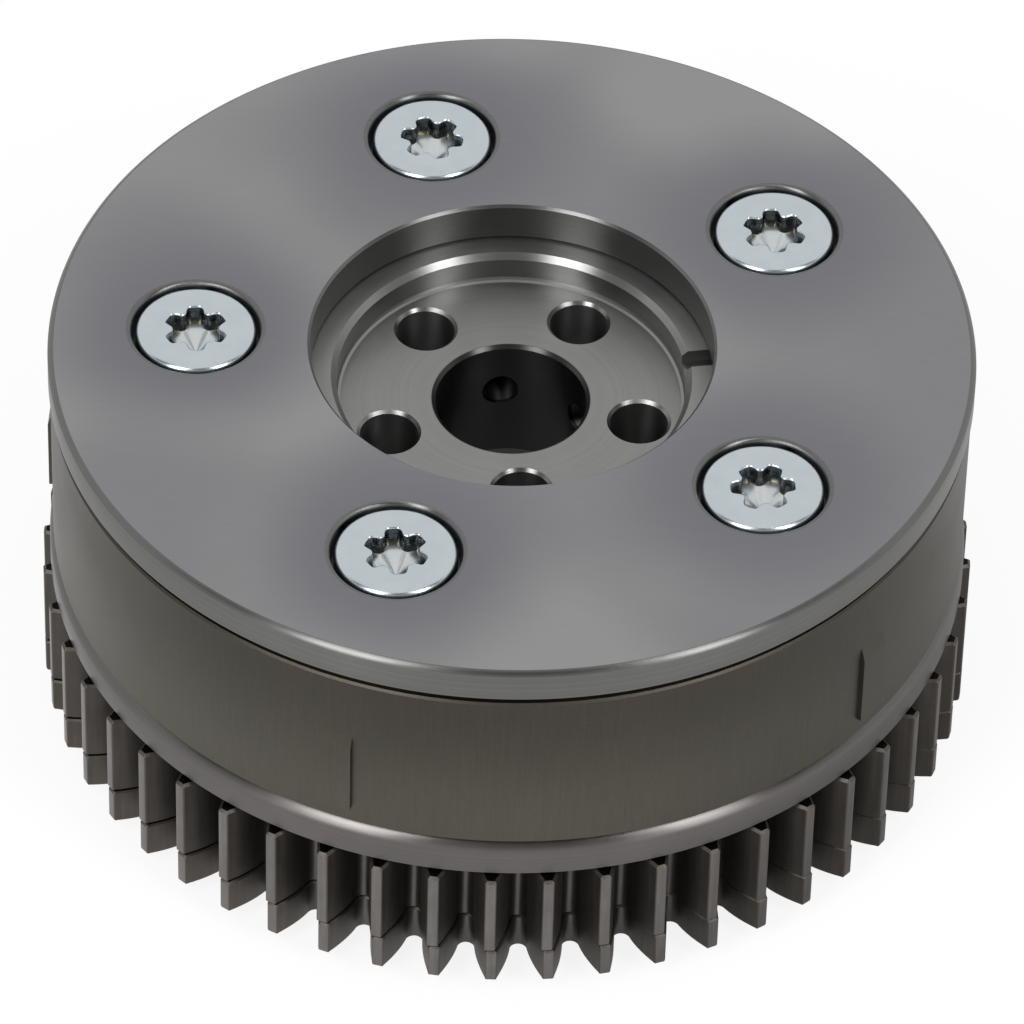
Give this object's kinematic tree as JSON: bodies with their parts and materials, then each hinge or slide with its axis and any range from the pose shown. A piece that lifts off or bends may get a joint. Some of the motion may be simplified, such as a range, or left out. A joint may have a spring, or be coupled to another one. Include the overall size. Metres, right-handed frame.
{
  "type": "cam phaser",
  "caption": "Round vane-type camshaft phaser with a flat screwed front cover, a recessed rotor hub and a split spring-loaded spur gear behind.",
  "frame": {"origin": "on the axis, at the flat end of the gear's hub that the part stands on", "axes": "+Z along the camshaft axis from the gear towards the front cover; +X to the right of the picture"},
  "size_m": [0.1082, 0.1082, 0.0511],
  "materials": {
    "cover_steel": "ground",
    "sintered_iron": "sintered, satin",
    "gear_steel": "machined",
    "rotor_steel": "turned",
    "zinc_screw": "zinc plated",
    "pin_steel": "ground",
    "spring_steel": "oil tempered",
    "seal_polymer": "moulded"
  },
  "bodies": {
    "housing": {"drive_gear": "gear_steel", "housing": "sintered_iron", "front_cover": "cover_steel", "cover_screw_1": "zinc_screw", "cover_screw_2": "zinc_screw", "cover_screw_3": "zinc_screw", "cover_screw_4": "zinc_screw", "cover_screw_5": "zinc_screw", "lobe_seal_1": "seal_polymer", "lobe_seal_2": "seal_polymer", "lobe_seal_3": "seal_polymer", "lobe_seal_4": "seal_polymer", "lobe_seal_5": "seal_polymer", "lobe_seal_spring_1": "spring_steel", "lobe_seal_spring_2": "spring_steel", "lobe_seal_spring_3": "spring_steel", "lobe_seal_spring_4": "spring_steel", "lobe_seal_spring_5": "spring_steel", "housing_dowel": "pin_steel", "lock_bush": "pin_steel", "main_gear_pin": "pin_steel", "scissor_spring": "spring_steel", "wave_washer": "spring_steel", "snap_ring": "spring_steel"},
    "rotor": {"rotor": "rotor_steel", "vane_seal_1": "seal_polymer", "vane_seal_2": "seal_polymer", "vane_seal_3": "seal_polymer", "vane_seal_4": "seal_polymer", "vane_seal_5": "seal_polymer", "vane_seal_spring_1": "spring_steel", "vane_seal_spring_2": "spring_steel", "vane_seal_spring_3": "spring_steel", "vane_seal_spring_4": "spring_steel", "vane_seal_spring_5": "spring_steel", "lock_pin_cap": "pin_steel", "lock_pin_spring": "spring_steel"},
    "lock_pin": {"lock_pin": "pin_steel"},
    "sub_gear": {"sub_gear": "gear_steel", "sub_gear_pin": "pin_steel"}
  },
  "joints": [
    {"name": "rotor_turn", "type": "hinge", "parent": "housing", "child": "rotor", "pos_m": [0, 0, 0.035], "axis": [0, 0, -1], "range_deg": [0, 22.8]},
    {"name": "lock_pin_slide", "type": "slide", "parent": "rotor", "child": "lock_pin", "axis": [0, 0, 1], "range_m": [0, 0.0022], "stiffness_N_per_m": 300, "springref_m": -0.002, "deforming": ["lock_pin_spring"]},
    {"name": "sub_gear_turn", "type": "hinge", "parent": "housing", "child": "sub_gear", "pos_m": [0, 0, 0.0048], "axis": [0, 0, 1], "range_deg": [-1, 0], "stiffness_Nm_per_rad": 5, "springref_deg": 2.86, "deforming": ["scissor_spring"]}
  ]
}
